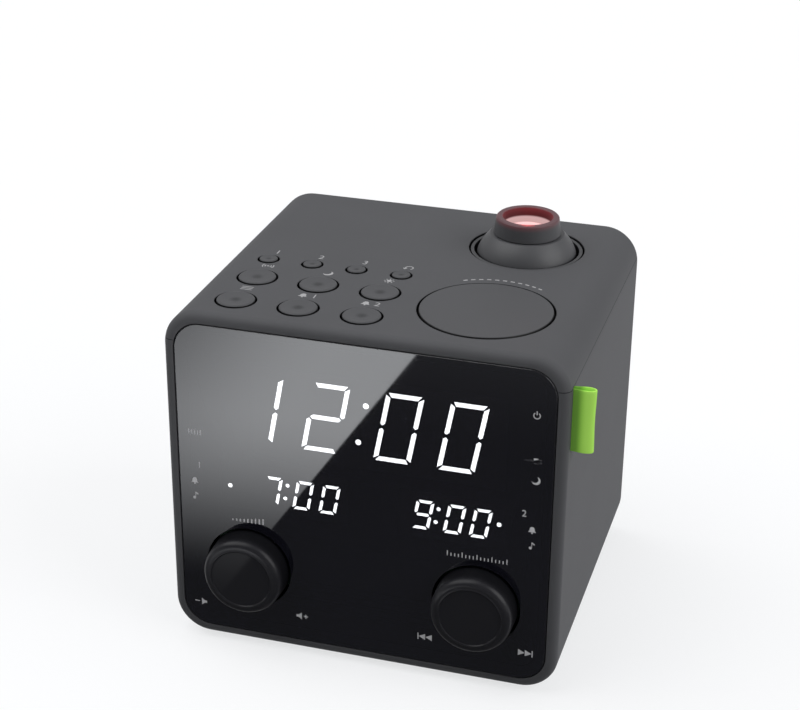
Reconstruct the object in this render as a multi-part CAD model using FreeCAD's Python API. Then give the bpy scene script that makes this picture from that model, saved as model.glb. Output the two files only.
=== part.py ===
import FreeCAD, Part
import math
import os

# Projection alarm clock with radio: a cube case, a smoked front panel with two knobs,
# eleven keys on top and a tilting projector head at the rear right.
# Millimetres. While it is drawn, x = 0 is the case's mid-plane, y = 0 the front panel's face
# and z = 0 the underside of the case. Every piece is moved into the part's frame when it is saved.

# Case
width = 130.0
depth = 114.0
height = 117.0
corner_r = 12.0
front_round = 2.8
back_round = 2.0
wall = 2.4
seam_drop = 10.2
skirt_t = 1.2
skirt_drop = 2.5
skirt_gap = 0.15
foot_r = 6.0
foot_out = 2.0
foot_sunk = 0.6
foot_inset = (14.0, 13.0)
part_gap = 0.3
touch_gap = 0.05

# Front panel and what it covers
lens_t = 2.2
lens_inset = 3.5
lens_gap = 0.25
lens_r = 9.3
ledge_t = 1.8
ledge_w = 3.5
carrier_t = 3.6
flange_t = 1.6
flange_gap = 2.4
rib_h = 1.6
display_depth = 8.2
board_t = 1.6
board_edge = 9.0
boss_r = 3.0

# Digits
digit_h = 23.9
digit_w = 12.05
digit_stroke = 1.5
alarm_digit_h = 10.4
alarm_digit_w = 5.75
alarm_stroke = 1.0
slant = math.tan(math.radians(10.4))
segment_gap = 0.26
segment_mid_gap = 0.5
segment_t = 1.0
time_base_z = 73.9
time_x = (-42.1, -20.3, 3.35, 23.85)
colon_x = (-1.4, 1.05)
colon_z = (79.2, 92.1)
alarm_base_z = 51.75
alarm_left_x = (-34.25, -23.7, -14.85)
alarm_right_x = (15.95, 26.25, 34.7)
alarm_colon_shift = -2.85
alarm_colon_rise = (3.25, 8.05)
alarm_dot_x = (-44.7, 44.35)
alarm_dot_z = (56.7, 57.6)
time_window = (-36.5, 46.0, 70.0, 101.0)
alarm_left_window = (-47.5, -5.0, 48.8, 65.3)
alarm_right_window = (12.0, 48.0, 48.8, 65.3)

# Knobs
knob_x = 38.2
knob_z = 28.3
knob_r = 13.5
knob_face_r = 10.4
knob_out = 8.0
knob_shoulder = 5.2
knob_in = 1.2
knob_wall = 2.0
knob_ring_gap = 1.0
hub_r = 5.2
shaft_r = 3.0
shaft_flat = 2.0
shaft_tip = 5.6
encoder_side = 12.4
encoder_t = 6.3
bush_r = 4.3
bush_t = 2.2
run_gap = 0.05

# Keys on the top
key_columns = (-45.3, -24.6, -3.9)
key_rows = (13.5, 32.8)
key_hole_r = 6.8
preset_columns = (-47.2, -32.0, -16.8, -1.6)
preset_row = 48.5
preset_hole_r = 3.75
snooze_x = 31.6
snooze_y = 29.5
snooze_hole_r = 21.8
key_gap = 0.7
key_proud = 0.5
key_dish = 0.5
key_round = 0.6
key_rim = 0.8
key_flange_t = 1.8
key_rest_gap = 0.2
key_travel = 0.8
snooze_travel = 1.2
stem_r = 1.7
stem_gap = 0.1
switch_side = 6.0
switch_h = 3.8
key_board_drop = 12.0
key_board_y = (9.4, 54.0)
key_board_side = 8.0
key_post_x = 55.0
key_post_y = (16.0, 51.0)
key_post_left_y = 23.2

# Projector
projector_x = 31.8
projector_y = 84.0
projector_hole_r = 19.4
ball_r = 17.3
pivot_drop = 6.0
bell_wall = 1.7
bell_bottom = 10.2
neck_h = 5.6
neck_r = 12.4
barrel_h = 11.6
barrel_foot_r = 11.3
barrel_top_r = 10.5
barrel_bore_r = 8.2
sleeve_r = 9.1
sleeve_drop = 6.0
cell_wall = 1.0
cell_top = 7.6
cell_drop = 1.0
lens_seat = 4.2
lens_edge = 2.6
lens_crown = 1.0
focus_shift = 0.75
tube_r = 10.65
tube_drop = 28.5
shelf_drop = 13.8
shelf_t = 1.2
shelf_hole_r = 5.0
slide_size = (11.0, 8.0, 1.2)
condenser_t = 5.0
lamp_r = 2.5
lamp_h = 5.2
lamp_board_t = 1.5
pin_r = 1.4
collar_wall = 2.0
collar_drop = 10.4
turntable_r = 21.2
turntable_lip_r = 18.7
turntable_lip_drop = 0.4
retainer_t = 1.7
lug_merge = 0.8

# Back, speaker and electronics
cover_t = 2.4
cover_inset = 3.5
cover_r = 9.3
cover_ledge_t = 2.2
cover_ledge_w = 4.6
cover_screw_inset = 13.0
rear_boss_r = 2.5
seam_clear = 0.1
rear_boss_len = 9.0
speaker_x = -22.0
speaker_z = 55.0
speaker_r = 25.0
speaker_flange_t = 1.5
magnet_r = 14.0
magnet_t = 8.5
grille_r = 20.5
grille_slot = 2.0
grille_pitch = 4.2
vent_slot = (22.0, 1.8)
vent_z = (91.0, 95.0, 99.0)
vent_x = (-36.0, -8.0)
main_board_z = 20.0
main_board_x = 50.0
main_board_y = (24.0, 106.0)
main_post_x = 44.0
main_post_y = (30.0, 92.0)
jack_x = 34.0
jack_size = (9.0, 14.0, 11.0)
jack_bore_r = 3.3
jack_pin_r = 1.0
jack_bore = 9.0
jack_pin_set_back = 3.0
jack_hole_r = 4.4
aerial_x = 46.0
aerial_z = 44.0
aerial_r = 3.0
aerial_bore_r = 0.9
aerial_lip = 0.8

# Backup battery bay in the floor
bay_y = (42.0, 68.0)
bay_half = 27.0
door_t = 1.8
door_gap = 0.3
bay_ledge = 1.5
bay_wall = 1.6
bay_inner_h = 13.0
cell_r = 5.25
cell_len = 44.5
cell_pitch = 11.2
cell_floor_gap = 0.35
tongue_x = 17.0
tongue_w = 6.0
tongue_rise = (3.0, 4.0)
tongue_reach = 2.0
tongue_root = (1.5, 2.5)

# Fasteners
screw_r = 1.3
screw_head_r = 2.5
screw_head_t = 1.5
screw_hole_gap = 0.2
screw_len = 6.5

# Fabric tab at the right front edge
tab_set_back = 0.25
tab_drop = 0.2
tab_h = 20.8
tab_out = 7.0
tab_t = 0.8
tab_space = 0.7
tab_slit_gap = 0.15
tab_in = 1.6

V = FreeCAD.Vector
UP = V(0, 0, 1)
BACK = V(0, 1, 0)
RIGHT = V(1, 0, 0)

half = width / 2
top = height
seam_z = height - seam_drop
under_top = height - wall
front_wall = lens_t + ledge_t
rear_wall = cover_t + cover_ledge_t
board_y = lens_t + display_depth
board_back = board_y + board_t
key_board_top = height - key_board_drop
tab_edge = half + tab_out
tab_y = front_wall + tab_set_back + tab_t + tab_space / 2
collar_r = turntable_r + part_gap
lug_reach = collar_r + collar_wall + boss_r - lug_merge
shift = V(-tab_out / 2, (knob_out - depth - aerial_lip) / 2, foot_out)

os.makedirs("parts", exist_ok=True)


def save(name, *solids):
    """Writes one piece, or one group of like pieces, moved into the part's frame."""
    shape = solids[0].copy() if len(solids) == 1 else Part.makeCompound(list(solids))
    shape.translate(shift)
    shape.exportStep(f"parts/{name}.step")


def block(x0, x1, y0, y1, z0, z1):
    return Part.makeBox(x1 - x0, y1 - y0, z1 - z0, V(x0, y0, z0))


def post(r, z0, z1, x, y):
    return Part.makeCylinder(r, z1 - z0, V(x, y, z0), UP)


def rod(r, y0, y1, x, z):
    return Part.makeCylinder(r, y1 - y0, V(x, y0, z), BACK)


def slab(inset, r, y0, y1):
    """A block with the case's outline, drawn in by inset, with round edges along y."""
    box = block(-half + inset, half - inset, y0, y1, inset, height - inset)
    edges = [e for e in box.Edges if abs(e.tangentAt(e.FirstParameter).y) > 0.9]
    return box.makeFillet(r, edges)


def ring(r_out, r_in, z0, z1, x=0.0, y=0.0):
    return post(r_out, z0, z1, x, y).cut(post(r_in, z0, z1, x, y))


def edges_at(shape, axis, place):
    """The edges that lie wholly in the plane axis = place."""
    low, high = f"{axis}Min", f"{axis}Max"
    near = 0.001
    return [
        e
        for e in shape.Edges
        if abs(getattr(e.BoundBox, low) - place) < near
        and abs(getattr(e.BoundBox, high) - place) < near
    ]


def outline(points):
    return [Part.makeLine(a, b) for a, b in zip(points, points[1:])]


def turned(points):
    """A solid turned about z from a closed outline of (radius, height) corners."""
    corners = [V(r, 0, h) for r, h in points]
    wire = Part.Wire(outline(corners + corners[:1]))
    return Part.Face(wire).revolve(V(0, 0, 0), UP, 360)


def moved(shape, x, y, z):
    copy = shape.copy()
    copy.translate(V(x, y, z))
    return copy


def facing_back(shape, x, y, z):
    """Lays a turned piece down so that its height runs forward from the back wall."""
    copy = shape.copy()
    copy.rotate(V(0, 0, 0), RIGHT, 90)
    copy.translate(V(x, y, z))
    return copy


def facing_front(shape, x, y, z):
    copy = shape.copy()
    copy.rotate(V(0, 0, 0), RIGHT, -90)
    copy.translate(V(x, y, z))
    return copy


def screw(length):
    """A round-head screw whose head sits on z = 0 and whose shank runs down."""
    head = post(screw_head_r, 0, screw_head_t, 0, 0)
    shank = post(screw_r, -length, 0, 0, 0)
    cross = [
        block(-screw_r, screw_r, -0.3, 0.3, screw_head_t / 2, screw_head_t),
        block(-0.3, 0.3, -screw_r, screw_r, screw_head_t / 2, screw_head_t),
    ]
    return head.fuse(shank).cut(cross)


# Case: one moulded shape, parted at the seam


def case_shape():
    outer = slab(0, corner_r, 0, depth)
    outer = outer.makeFillet(front_round, edges_at(outer, "Y", 0))
    outer = outer.makeFillet(back_round, edges_at(outer, "Y", depth))
    inner = slab(wall, corner_r - wall, front_wall, depth - rear_wall)
    lens_seat_cut = slab(lens_inset, lens_r, -front_round, lens_t)
    window = slab(lens_inset + ledge_w, lens_r - ledge_w, 0, front_wall)
    cover_seat = slab(cover_inset, cover_r, depth - cover_t, depth + back_round)
    opening = slab(cover_inset + cover_ledge_w, cover_r - cover_ledge_w, depth - rear_wall, depth)
    case = outer.cut([inner, lens_seat_cut, window, cover_seat, opening])
    bosses = [rod(rear_boss_r, cover_front - rear_boss_len, cover_front, x, z) for x, z in cover_screws]
    inside = slab(wall / 2, corner_r - wall, front_wall, cover_front)
    case = case.fuse([b.common(inside) for b in bosses])
    pilots = [
        rod(screw_r + run_gap, cover_front - rear_boss_len + wall / 2, cover_front, x, z)
        for x, z in cover_screws
    ]
    return case.cut(pilots)


def key_posts():
    places = [(-key_post_x, key_post_left_y), (-key_post_x, key_post_y[1])]
    return places + [(key_post_x, key_post_y[0]), (key_post_x, key_post_y[1])]


def retainer_lugs():
    places = []
    for quarter in range(4):
        angle = math.radians(45 + 90 * quarter)
        x = projector_x + lug_reach * math.cos(angle)
        places.append((x, projector_y + lug_reach * math.sin(angle)))
    return places


cover_front = depth - cover_t
high_screw_z = seam_z + rear_boss_r + seam_clear
screw_heights = (height - high_screw_z, high_screw_z)
cover_screws = [(sx * (half - cover_screw_inset), z) for sx in (-1, 1) for z in screw_heights]
main_posts = [(x, y) for x in (-main_post_x, main_post_x) for y in main_post_y]
case = case_shape()
reach = 2 * max(width, depth, height)
above = block(-reach, reach, -reach, reach, seam_z, reach)
below = block(-reach, reach, -reach, reach, -reach, seam_z)


def key_holes():
    """Centre, hole radius and travel of every key, by name."""
    keys = {}
    names = ("source_key", "alarm_one_key", "alarm_two_key", "radio_key", "nap_key", "dimmer_key")
    places = [(x, y) for y in key_rows for x in key_columns]
    for name, (x, y) in zip(names, places):
        keys[name] = (x, y, key_hole_r, key_travel)
    for number, x in enumerate(preset_columns[:3], 1):
        keys[f"preset_key_{number}"] = (x, preset_row, preset_hole_r, key_travel)
    keys["rotate_key"] = (preset_columns[3], preset_row, preset_hole_r, key_travel)
    keys["snooze_key"] = (snooze_x, snooze_y, snooze_hole_r, snooze_travel)
    return keys


keys = key_holes()


def upper_housing():
    """Top cover: keyholes, projector collar, posts for the key board and the skirt behind the seam."""
    shell = case.common(above)
    y0, y1 = front_wall + flange_t + flange_gap, depth - rear_wall - rear_boss_len
    within = slab(wall + skirt_t, corner_r - wall - skirt_t, y0, y1)
    hung = slab(wall, corner_r - wall, y0, y1).cut(within)
    dropped = slab(wall + skirt_gap, corner_r - wall - skirt_gap, y0, y1).cut(within)
    hung = hung.common(block(-half, half, y0, y1, seam_z, seam_z + skirt_t))
    dropped = dropped.common(block(-half, half, y0, y1, seam_z - skirt_drop, seam_z))
    collar = post(collar_r + collar_wall, top - collar_drop, under_top, projector_x, projector_y)
    posts = [post(boss_r, key_board_top, under_top, x, y) for x, y in key_posts()]
    lugs = [post(boss_r, top - collar_drop, under_top, x, y) for x, y in retainer_lugs()]
    body = shell.fuse([hung, dropped, collar] + [p.common(case_fill) for p in posts + lugs])
    cuts = [post(r, under_top - 1, top + 1, x, y) for x, y, r, travel in keys.values()]
    cuts.append(post(projector_hole_r, under_top - 1, top + 1, projector_x, projector_y))
    cuts.append(post(collar_r, top - collar_drop - 1, under_top, projector_x, projector_y))
    cuts += [post(screw_r + run_gap, key_board_top, key_board_top + screw_len, x, y) for x, y in key_posts()]
    low = top - collar_drop
    cuts += [post(screw_r + run_gap, low, low + screw_len, x, y) for x, y in retainer_lugs()]
    return body.cut(cuts).removeSplitter()


def lower_housing():
    """Tub: front and rear rims, battery bay, posts for the main board, foot seats and the tab's slit."""
    shell = case.common(below)
    y0, y1 = bay_y
    bay_x, bay_y0, bay_y1 = bay_half - bay_ledge, y0 + bay_ledge, y1 - bay_ledge
    t = bay_wall
    bay_outer = block(-bay_x - t, bay_x + t, bay_y0 - t, bay_y1 + t, 0, bay_inner_h + t)
    bay_inner = block(-bay_x, bay_x, bay_y0, bay_y1, -1, bay_inner_h)
    door_seat = block(-bay_half, bay_half, y0, y1, -1, door_t)
    slots = [
        block(
            x - tongue_w / 2 - part_gap,
            x + tongue_w / 2 + part_gap,
            y0 - tongue_reach - wall,
            y0 + bay_wall + bay_ledge,
            wall,
            tongue_rise[1] + wall / 2,
        )
        for x in (-tongue_x, tongue_x)
    ]
    posts = [post(boss_r, wall / 2, main_board_z, x, y) for x, y in main_posts]
    ribs = []
    for side in (-1, 1):
        x0, x1 = sorted((side * (half - wall / 2), side * (half - wall - ledge_w)))
        y2 = front_wall + flange_t + run_gap
        ribs.append(block(x0, x1, y2, y2 + rib_h, corner_r, seam_z - tab_h - 2 * rib_h))
    body = shell.fuse([bay_outer] + posts + ribs)
    cuts = [bay_inner, door_seat] + slots
    low = main_board_z - screw_len
    cuts += [post(screw_r + run_gap, low, main_board_z, x, y) for x, y in main_posts]
    cuts += [post(foot_r + 0.1, -1, foot_sunk, x, y) for x, y in foot_places()]
    tab_half = tab_t + tab_space / 2 + tab_slit_gap
    slit_z = seam_z - tab_drop - tab_h - tab_slit_gap
    cuts.append(block(half - wall - 1, half + 1, tab_y - tab_half, tab_y + tab_half, slit_z, seam_z))
    return body.cut(cuts).removeSplitter()


def foot_places():
    x = half - foot_inset[0]
    return [(sx * x, y) for sx in (-1, 1) for y in (foot_inset[1], depth - foot_inset[1])]


case_fill = slab(wall / 2, corner_r - wall / 2, front_wall, depth - cover_t)
save("upper_housing", upper_housing())
save("lower_housing", lower_housing())
feet = [post(foot_r, -foot_out, foot_sunk, x, y) for x, y in foot_places()]
save("rubber_feet", *[f.makeFillet(0.5, edges_at(f, "Z", -foot_out)) for f in feet])

# Rear cover with its grille, vents, socket hole and screws


def round_slot(x, z, length, height_z, y0, y1):
    """An upright cutter for a slot with round ends, centred at x, z."""
    end = (length - height_z) / 2
    r = height_z / 2
    cutter = block(x - end, x + end, y0, y1, z - r, z + r)
    return cutter.fuse([rod(r, y0, y1, x - end, z), rod(r, y0, y1, x + end, z)])


def rear_cover():
    y0, y1 = cover_front, depth
    plate = slab(cover_inset + lens_gap, cover_r - lens_gap, y0, y1)
    plate = plate.makeFillet(0.5, edges_at(plate, "Y", y1))
    rows = int(grille_r / grille_pitch)
    cuts = []
    for row in range(-rows, rows + 1):
        rise = row * grille_pitch
        chord = 2 * math.sqrt(grille_r**2 - rise**2)
        cuts.append(round_slot(speaker_x, speaker_z + rise, chord, grille_slot, y0 - 1, y1 + 1))
    cuts += [round_slot(x, z, *vent_slot, y0 - 1, y1 + 1) for x in vent_x for z in vent_z]
    cuts += [rod(screw_r + screw_hole_gap, y0 - 1, y1, x, z) for x, z in cover_screws]
    cuts += [rod(screw_head_r + screw_hole_gap, y1 - screw_head_t, y1 + 1, x, z) for x, z in cover_screws]
    cuts.append(rod(jack_hole_r, y0 - 1, y1 + 1, jack_x, jack_mouth_z))
    cuts.append(rod(aerial_r, y0 - 1, y1 + 1, aerial_x, aerial_z))
    body = plate.cut(cuts)
    pads = [rod(boss_r, y0 - speaker_flange_t, y0, x, z) for x, z in speaker_screws()]
    pilots = [rod(screw_r + run_gap, y0 - speaker_flange_t, y0 + wall / 2, x, z) for x, z in speaker_screws()]
    return body.fuse(pads).cut(pilots)


def speaker_screws():
    places = []
    for step in range(4):
        angle = math.radians(45 + 90 * step)
        reach_r = speaker_r + boss_r + run_gap
        places.append((speaker_x + reach_r * math.cos(angle), speaker_z + reach_r * math.sin(angle)))
    return places


jack_mouth_z = main_board_z + board_t + jack_size[2] / 2
save("rear_cover", rear_cover())
back_screw = screw(screw_len)
save("rear_cover_screws", *[facing_front(back_screw, x, depth - screw_head_t, z) for x, z in cover_screws])

# Battery door, cells and contacts


def battery_door():
    y0, y1 = bay_y[0] + door_gap, bay_y[1] - door_gap
    x1 = bay_half - door_gap
    plate = block(-x1, x1, y0, y1, 0, door_t)
    scoop_r = 4.0
    scoop = Part.makeCylinder(scoop_r, 16.0, V(-8.0, y1 - scoop_r, -scoop_r + 0.9), RIGHT)
    tongues = []
    for x in (-tongue_x, tongue_x):
        tongues.append(
            block(
                x - tongue_w / 2,
                x + tongue_w / 2,
                y0 + tongue_root[0],
                y0 + tongue_root[1],
                door_t,
                tongue_rise[1],
            )
        )
        tongues.append(
            block(x - tongue_w / 2, x + tongue_w / 2, y0 - tongue_reach, y0 + tongue_root[1], *tongue_rise)
        )
    return plate.cut(scoop).fuse(tongues).removeSplitter()


bay_mid_y = sum(bay_y) / 2
cell_z = door_t + cell_floor_gap + cell_r
cell_rows = (bay_mid_y - cell_pitch / 2 + 0.3, bay_mid_y + cell_pitch / 2 + 0.3)
save("battery_door", battery_door())


def backup_cell(y, way):
    """An AAA cell lying along x, with its button at the way end."""
    can = Part.makeCylinder(cell_r, cell_len, V(-cell_len / 2, y, cell_z), RIGHT)
    nub = Part.makeCylinder(1.9, 0.8, V(way * cell_len / 2, y, cell_z), V(way, 0, 0))
    return can.fuse(nub)


def cell_contact(y, end):
    """A flat plate on the bay's end wall with a pressed cone that meets the cell."""
    wall_x = end * (bay_half - bay_ledge)
    plate_t = 0.5
    x0, x1 = sorted((wall_x, wall_x - end * plate_t))
    plate = block(x0, x1, y - 4, y + 4, cell_z - 4, cell_z + 4)
    tip = bay_half - bay_ledge - cell_len / 2 - plate_t - 0.8 - touch_gap
    cone = Part.makeCone(3.4, 1.8, tip, V(wall_x - end * plate_t, y, cell_z), V(-end, 0, 0))
    return plate.fuse(cone)


save("backup_cells", backup_cell(cell_rows[0], 1), backup_cell(cell_rows[1], -1))
save("battery_contacts", *[cell_contact(y, end) for y in cell_rows for end in (-1, 1)])

# Front panel, display carrier and front board


def front_lens():
    panel = slab(lens_inset + lens_gap, lens_r - lens_gap, 0, lens_t)
    panel = panel.makeChamfer(0.3, edges_at(panel, "Y", 0))
    holes = [rod(knob_r + knob_ring_gap, -1, lens_t + 1, x, knob_z) for x in (-knob_x, knob_x)]
    return panel.cut(holes)


def window_cut(window, gap, y0, y1):
    x0, x1, z0, z1 = window
    return block(x0 - gap, x1 + gap, y0, y1, z0 - gap, z1 + gap)


windows = (time_window, alarm_left_window, alarm_right_window)
board_x = half - board_edge
board_z = (board_edge, key_board_top - board_t - part_gap)
board_screws = [(sx * (board_x - 4.0), z) for sx in (-1, 1) for z in (board_z[0] + 4.0, board_z[1] - 4.0)]


def display_carrier():
    """Black frame behind the panel: it masks the displays, lines the knob wells and holds the board."""
    step_inset = lens_inset + ledge_w + part_gap
    plate = slab(step_inset, lens_r - ledge_w - part_gap, lens_t, lens_t + carrier_t)
    flange = slab(wall + flange_gap, corner_r - wall - flange_gap, front_wall, front_wall + flange_t)
    wells = [rod(knob_r + knob_ring_gap + 2.0, lens_t, board_y, x, knob_z) for x in (-knob_x, knob_x)]
    bosses = [rod(boss_r, lens_t + carrier_t / 2, board_y, x, z) for x, z in board_screws]
    body = plate.fuse([flange] + wells + bosses)
    cuts = [rod(knob_r + knob_ring_gap, 0, board_y + 1, x, knob_z) for x in (-knob_x, knob_x)]
    cuts += [window_cut(w, run_gap, 0, board_y + 1) for w in windows]
    cuts += [rod(screw_r + run_gap, board_y - 4.0, board_y + 1, x, z) for x, z in board_screws]
    return body.cut(cuts).removeSplitter()


def bar(points, base_x, base_z, y0):
    """One lit segment: an outline in the digit's own upright frame, slanted and given its thickness."""
    corners = [V(base_x + x + z * slant, y0, base_z + z) for x, z in points]
    wire = Part.Wire(outline(corners + corners[:1]))
    return Part.Face(wire).extrude(V(0, segment_t, 0))


lit = {"0": "abcdef", "1": "bc", "2": "abged", "7": "abc", "9": "abcdfg"}


def digit(value, base_x, base_z, w, h, s, y0):
    """The lit segments of one figure, w wide and h high with strokes s wide."""
    g, m = segment_gap, segment_mid_gap
    mid = h / 2
    flat = {
        "a": [(g + s / 3, h), (w - g - s / 3, h), (w - g - s, h - s), (g + s, h - s)],
        "d": [(g + s / 3, 0), (g + s, s), (w - g - s, s), (w - g - s / 3, 0)],
        "g": [
            (g + s / 2, mid),
            (g + s, mid + s / 2),
            (w - g - s, mid + s / 2),
            (w - g - s / 2, mid),
            (w - g - s, mid - s / 2),
            (g + s, mid - s / 2),
        ],
        "b": [
            (w, h - g - s / 3),
            (w, mid + m + s / 3),
            (w - s / 2, mid + m),
            (w - s, mid + m + s / 2),
            (w - s, h - g - s),
        ],
        "c": [
            (w, g + s / 3),
            (w - s, g + s),
            (w - s, mid - m - s / 2),
            (w - s / 2, mid - m),
            (w, mid - m - s / 3),
        ],
    }
    flat["f"] = [(w - x, z) for x, z in flat["b"]]
    flat["e"] = [(w - x, z) for x, z in flat["c"]]
    return [bar(flat[name], base_x, base_z, y0) for name in lit[value]]


def dot(x, z, r, y0):
    return rod(r, y0, y0 + segment_t, x, z)


def lit_row(values, places, base_z, w, h, s, dots, y0):
    solids = []
    for value, x in zip(values, places):
        solids += digit(value, x, base_z, w, h, s, y0)
    return solids + [dot(x, z, r, y0) for x, z, r in dots]


def display_module(window, segments, y0):
    """An LED display block with a pocket for each lit segment."""
    x0, x1, z0, z1 = window
    return block(x0, x1, y0, board_y, z0, z1).cut(segments)


face_y = lens_t + touch_gap
colon = [(x, z, 0.95) for x, z in zip(colon_x, colon_z)]
time_segments = lit_row("1200", time_x, time_base_z, digit_w, digit_h, digit_stroke, colon, face_y)


def alarm_dots(digit_x, side):
    """The colon before a row's second figure, and the row's alarm-on dot."""
    x = digit_x + alarm_colon_shift
    pair = [(x + rise * slant, alarm_base_z + rise, 0.65) for rise in alarm_colon_rise]
    return pair + [(alarm_dot_x[side], alarm_dot_z[side], 0.75)]


left_dots = alarm_dots(alarm_left_x[1], 0)
right_dots = alarm_dots(alarm_right_x[1], 1)
alarm_size = (alarm_base_z, alarm_digit_w, alarm_digit_h, alarm_stroke)
alarm_one = lit_row("700", alarm_left_x, *alarm_size, left_dots, face_y)
alarm_two = lit_row("900", alarm_right_x, *alarm_size, right_dots, face_y)
save("front_lens", front_lens())
save("display_carrier", display_carrier())
save("time_display", display_module(time_window, time_segments, face_y))
save("alarm_one_display", display_module(alarm_left_window, alarm_one, face_y))
save("alarm_two_display", display_module(alarm_right_window, alarm_two, face_y))
save("time_segments", *time_segments)
save("alarm_one_segments", *alarm_one)
save("alarm_two_segments", *alarm_two)


def front_board():
    plate = block(-board_x, board_x, board_y, board_back, *board_z)
    return plate.cut([rod(screw_r + screw_hole_gap, board_y, board_back, x, z) for x, z in board_screws])


save("front_board", front_board())

# Knobs with their shafts and encoders


def knob_solid():
    """Moulded cap turned about z, with z = 0 at its face: rounded shoulder, rimmed face, hub inside."""
    length = knob_out + knob_in
    sunk, draft = 0.35, 0.2
    rim, shoulder_h = knob_face_r + 0.3, knob_out - knob_shoulder
    side_r = knob_r - draft
    across = (side_r - rim) * 0.76
    shoulder = Part.Arc(
        V(rim, 0, 0.25), V(rim + across, 0, 0.25 + shoulder_h * 0.27), V(side_r, 0, shoulder_h)
    ).toShape()
    inner_r = knob_r - knob_wall
    face_r = knob_face_r - 0.5
    first = [V(0, 0, sunk), V(face_r, 0, sunk), V(face_r + sunk, 0, 0), V(rim, 0, 0.25)]
    rest = [
        V(side_r, 0, shoulder_h),
        V(knob_r, 0, length),
        V(inner_r, 0, length),
        V(inner_r - 0.6, 0, knob_wall + 0.6),
        V(hub_r, 0, knob_wall + 0.6),
        V(hub_r, 0, length - 1.4),
        V(0, 0, length - 1.4),
        V(0, 0, sunk),
    ]
    wire = Part.Wire(outline(first) + [shoulder] + outline(rest))
    return Part.Face(wire).revolve(V(0, 0, 0), UP, 360)


def shaft_solid(reach_in):
    """A round shaft with a flat along its knob end; z = 0 is its tip."""
    shaft = post(shaft_r, 0, reach_in, 0, 0)
    flat = block(shaft_flat, shaft_r + 1, -shaft_r, shaft_r, -1, knob_out)
    return shaft.cut(flat)


encoder_y = board_y - encoder_t
shaft_back = board_y - 1.2
for side, name in ((-1, "volume"), (1, "tuning")):
    x = side * knob_x
    shaft = facing_front(shaft_solid(shaft_tip + shaft_back), x, -shaft_tip, knob_z)
    knob = facing_front(knob_solid(), x, -knob_out, knob_z).cut(shaft)
    body = block(
        x - encoder_side / 2,
        x + encoder_side / 2,
        encoder_y,
        board_y,
        knob_z - encoder_side / 2,
        knob_z + encoder_side / 2,
    )
    bush = rod(bush_r, encoder_y - bush_t, encoder_y, x, knob_z)
    bore = rod(shaft_r + run_gap, encoder_y - bush_t - 1, shaft_back + part_gap, x, knob_z)
    save(f"{name}_knob", knob)
    save(f"{name}_shaft", shaft)
    save(f"{name}_encoder", body.fuse(bush).cut(bore))

# Keys on the top, their board and switches

switch_top = key_board_top + switch_h


def key_cap(x, y, hole_r, travel):
    """A dished cap with a flange that stops under the top cover and a stem into its switch."""
    r = hole_r - key_gap
    cap_top = top + key_proud
    flange_top = under_top - key_rest_gap
    cap = post(r, flange_top - key_flange_t, cap_top, x, y)
    cap = cap.makeFillet(key_round, edges_at(cap, "Z", cap_top))
    ball_radius = (r**2 + key_dish**2) / (2 * key_dish)
    dish = Part.makeSphere(ball_radius, V(x, y, cap_top + ball_radius - key_dish * 0.7))
    flange = post(hole_r + key_rim, flange_top - key_flange_t, flange_top, x, y)
    stem = post(stem_r, switch_top - travel - part_gap, flange_top, x, y)
    return cap.cut(dish).fuse([flange, stem]).removeSplitter()


def snooze_cap(x, y, hole_r, travel):
    """The wide snooze plate, hollow under its skin, on one centre stem."""
    r = hole_r - key_gap
    cap_top = top + key_proud * 0.6
    flange_top = under_top - key_rest_gap
    cap = post(r, flange_top - key_flange_t, cap_top, x, y)
    cap = cap.makeFillet(key_round, edges_at(cap, "Z", cap_top))
    flange = post(hole_r + key_rim, flange_top - key_flange_t, flange_top, x, y)
    hollow = post(r - wall, flange_top - key_flange_t - 1, cap_top - wall, x, y)
    stem = post(stem_r, switch_top - travel - part_gap, cap_top - wall / 2, x, y)
    return cap.fuse(flange).cut(hollow).fuse(stem).removeSplitter()


def tact_switch(x, y, travel):
    s = switch_side / 2
    body = block(x - s, x + s, y - s, y + s, key_board_top, switch_top)
    depth_in = 2 * travel + 2 * part_gap
    return body.cut(post(stem_r + stem_gap, switch_top - depth_in, switch_top + 1, x, y))


for name, (x, y, hole_r, travel) in keys.items():
    make = snooze_cap if name == "snooze_key" else key_cap
    save(name, make(x, y, hole_r, travel))
save("tact_switches", *[tact_switch(x, y, travel) for x, y, hole_r, travel in keys.values()])


def key_board():
    x1 = half - key_board_side
    plate = block(-x1, x1, *key_board_y, key_board_top - board_t, key_board_top)
    return plate.cut([post(screw_r + screw_hole_gap, 0, top, x, y) for x, y in key_posts()])


save("key_board", key_board())

# Projector head, focus ring and turntable


def on_projector(shape):
    return moved(shape, projector_x, projector_y, top)


def bell_outline():
    """The head's outside, from its neck over the bell to its lower rim."""
    shoulder = [V(neck_r, 0, neck_h), V(13.6, 0, 4.3), V(14.9, 0, 2.6), V(16.0, 0, 0.6)]
    start = -1.5
    ball = [math.sqrt(ball_r**2 - (h + pivot_drop) ** 2) for h in (start, -pivot_drop, -bell_bottom)]
    shoulder.append(V(ball[0], 0, start))
    curve = Part.BSplineCurve()
    curve.interpolate(shoulder)
    arc = Part.Arc(V(ball[0], 0, start), V(ball[1], 0, -pivot_drop), V(ball[2], 0, -bell_bottom))
    return curve.toShape(), arc.toShape(), ball[2]


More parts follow.
